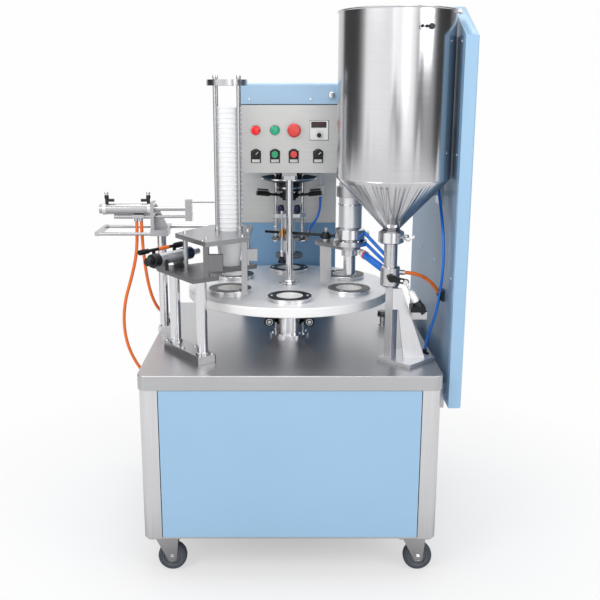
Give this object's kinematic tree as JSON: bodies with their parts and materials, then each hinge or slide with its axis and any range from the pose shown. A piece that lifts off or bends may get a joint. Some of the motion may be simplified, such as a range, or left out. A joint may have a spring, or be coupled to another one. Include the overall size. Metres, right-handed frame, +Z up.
{
  "type": "rotary cup filling and sealing machine",
  "caption": "Table-height machine on casters with a rotary table of cup pockets, cup magazine, hopper-fed dosing station, lid arm and heat-sealing head under a control box.",
  "frame": {"origin": "on the floor, under the turntable's axis", "axes": "+X to the operator's right, +Y away from the operator, +Z up"},
  "size_m": [1.035, 0.801, 1.515],
  "materials": {
    "aluminium": "machined aluminium",
    "black_plastic": "moulded black plastic",
    "blue_hose": "blue air tube",
    "blue_paint": "satin sheet-metal paint",
    "brass": "turned brass",
    "cup_paper": "smooth white paper cups",
    "dark_steel": "black painted metal",
    "green_plastic": "glossy green plastic",
    "orange_hose": "orange air tube",
    "polished_steel": "polished steel",
    "red_plastic": "glossy red plastic",
    "stainless": "brushed stainless sheet",
    "tyre": "grey rubber tread"
  },
  "bodies": {
    "frame": {"cabinet_frame": "stainless", "skin_panels": "blue_paint", "table_tray": "stainless", "cabinet_drive": "dark_steel", "caster_plates": "stainless", "bearing_hub": "stainless", "rear_housing": "blue_paint", "control_panel": "stainless", "top_cap": "blue_paint", "panel_fittings": "black_plastic", "legend_plates": "black_plastic", "seal_cylinder": "aluminium", "head_fittings": "polished_steel", "guide_rods": "polished_steel", "seal_springs": "polished_steel", "fill_head": "stainless", "dosing_barrel": "stainless", "hopper": "polished_steel", "outlet_valve": "stainless", "hopper_stand": "stainless", "arm_post": "dark_steel", "magazine_plates": "aluminium", "magazine_cage": "polished_steel", "infeed_stand": "stainless", "pusher_stand": "stainless", "pusher_cylinder": "aluminium", "feed_cylinder": "aluminium", "side_housing": "blue_paint", "orange_hose_outer": "orange_hose", "orange_hose_inner": "orange_hose", "orange_hose_right": "orange_hose", "blue_hose_side": "blue_hose", "blue_hose_head": "blue_hose"},
    "caster_fork_front_left": {"caster_fork_front_left": "stainless"},
    "caster_wheel_front_left": {"caster_wheel_front_left": "tyre"},
    "caster_fork_front_right": {"caster_fork_front_right": "stainless"},
    "caster_wheel_front_right": {"caster_wheel_front_right": "tyre"},
    "caster_fork_back_left": {"caster_fork_back_left": "stainless"},
    "caster_wheel_back_left": {"caster_wheel_back_left": "tyre"},
    "caster_fork_back_right": {"caster_fork_back_right": "stainless"},
    "caster_wheel_back_right": {"caster_wheel_back_right": "tyre"},
    "turntable": {"turntable": "polished_steel", "pocket_rings": "polished_steel", "turntable_shaft": "polished_steel"},
    "seal_head": {"seal_head": "aluminium"},
    "dosing_piston": {"dosing_piston": "polished_steel"},
    "fill_nozzle": {"fill_nozzle": "polished_steel"},
    "actuator_rod": {"actuator_rod": "polished_steel"},
    "valve_lever": {"valve_lever": "dark_steel"},
    "lid_arm": {"lid_arm": "dark_steel"},
    "lid_picker": {"lid_picker": "brass"},
    "cup_stack": {"cup_stack": "cup_paper"},
    "pusher_rods": {"pusher_rods": "polished_steel"},
    "feed_rod": {"feed_rod": "polished_steel"},
    "e_stop_button": {"e_stop_button": "red_plastic"},
    "start_button": {"start_button": "green_plastic"},
    "stop_button": {"stop_button": "red_plastic"},
    "selector_left": {"selector_left": "black_plastic"},
    "selector_right": {"selector_right": "black_plastic"},
    "speed_knob": {"speed_knob": "black_plastic"}
  },
  "joints": [
    {"name": "swivel_front_left", "type": "hinge", "parent": "frame", "child": "caster_fork_front_left", "pos_m": [-0.342, -0.342, 0.1], "axis": [0, 0, 1], "continuous": true},
    {"name": "roll_front_left", "type": "hinge", "parent": "caster_fork_front_left", "child": "caster_wheel_front_left", "pos_m": [-0.327, -0.342, 0.04], "axis": [0, 1, 0], "continuous": true},
    {"name": "swivel_front_right", "type": "hinge", "parent": "frame", "child": "caster_fork_front_right", "pos_m": [0.342, -0.342, 0.1], "axis": [0, 0, 1], "continuous": true},
    {"name": "roll_front_right", "type": "hinge", "parent": "caster_fork_front_right", "child": "caster_wheel_front_right", "pos_m": [0.357, -0.342, 0.04], "axis": [0, 1, 0], "continuous": true},
    {"name": "swivel_back_left", "type": "hinge", "parent": "frame", "child": "caster_fork_back_left", "pos_m": [-0.342, 0.342, 0.1], "axis": [0, 0, 1], "continuous": true},
    {"name": "roll_back_left", "type": "hinge", "parent": "caster_fork_back_left", "child": "caster_wheel_back_left", "pos_m": [-0.327, 0.342, 0.04], "axis": [0, 1, 0], "continuous": true},
    {"name": "swivel_back_right", "type": "hinge", "parent": "frame", "child": "caster_fork_back_right", "pos_m": [0.342, 0.342, 0.1], "axis": [0, 0, 1], "continuous": true},
    {"name": "roll_back_right", "type": "hinge", "parent": "caster_fork_back_right", "child": "caster_wheel_back_right", "pos_m": [0.357, 0.342, 0.04], "axis": [0, 1, 0], "continuous": true},
    {"name": "turntable_turn", "type": "hinge", "parent": "frame", "child": "turntable", "pos_m": [0, 0, 0.725], "axis": [0, 0, 1], "continuous": true},
    {"name": "sealing_stroke", "type": "slide", "parent": "frame", "child": "seal_head", "axis": [0, 0, -1], "range_m": [0, 0.03], "deforming": ["seal_springs"]},
    {"name": "dosing_stroke", "type": "slide", "parent": "frame", "child": "dosing_piston", "axis": [0, 0, 1], "range_m": [0, 0.09]},
    {"name": "nozzle_stroke", "type": "slide", "parent": "frame", "child": "fill_nozzle", "axis": [0, 0, -1], "range_m": [0, 0.03]},
    {"name": "valve_actuator_stroke", "type": "slide", "parent": "frame", "child": "actuator_rod", "axis": [-0.5, 0, 0.866], "range_m": [0, 0.012]},
    {"name": "valve_lever_turn", "type": "hinge", "parent": "frame", "child": "valve_lever", "pos_m": [0.27, -0.288, 0.819], "axis": [0, -1, 0], "range_deg": [0, 17.78]},
    {"name": "lid_arm_swing", "type": "hinge", "parent": "frame", "child": "lid_arm", "pos_m": [0.107, -0.02, 0.892], "axis": [0, 0, 1], "range_deg": [-102, 0]},
    {"name": "lid_picker_stroke", "type": "slide", "parent": "lid_arm", "child": "lid_picker", "axis": [0, 0, -1], "range_m": [0, 0.045]},
    {"name": "cup_stack_lift", "type": "slide", "parent": "frame", "child": "cup_stack", "axis": [0, 0, 1], "range_m": [0, 0.35]},
    {"name": "pusher_stroke", "type": "slide", "parent": "frame", "child": "pusher_rods", "axis": [1, 0, 0], "range_m": [-0.085, 0]},
    {"name": "feed_stroke", "type": "slide", "parent": "frame", "child": "feed_rod", "axis": [0.5764, 0.8171, 0], "range_m": [0, 0.04]},
    {"name": "e_stop_button_press", "type": "slide", "parent": "frame", "child": "e_stop_button", "axis": [0, 1, 0], "range_m": [0, 0.004], "stiffness_N_per_m": 150},
    {"name": "start_button_press", "type": "slide", "parent": "frame", "child": "start_button", "axis": [0, 1, 0], "range_m": [0, 0.004], "stiffness_N_per_m": 100},
    {"name": "stop_button_press", "type": "slide", "parent": "frame", "child": "stop_button", "axis": [0, 1, 0], "range_m": [0, 0.004], "stiffness_N_per_m": 100},
    {"name": "selector_left_turn", "type": "hinge", "parent": "frame", "child": "selector_left", "pos_m": [-0.1, 0.07, 1.12], "axis": [0, 1, 0], "range_deg": [-90, 0]},
    {"name": "selector_right_turn", "type": "hinge", "parent": "frame", "child": "selector_right", "pos_m": [0.086, 0.07, 1.12], "axis": [0, 1, 0], "range_deg": [-90, 0]},
    {"name": "speed_knob_turn", "type": "hinge", "parent": "frame", "child": "speed_knob", "pos_m": [0.088, 0.07, 1.176], "axis": [0, 1, 0], "range_deg": [-150, 150]}
  ],
  "couplings": [
    {"joint": "valve_lever_turn", "follows": "valve_actuator_stroke", "rad_per_m": 25.72}
  ]
}
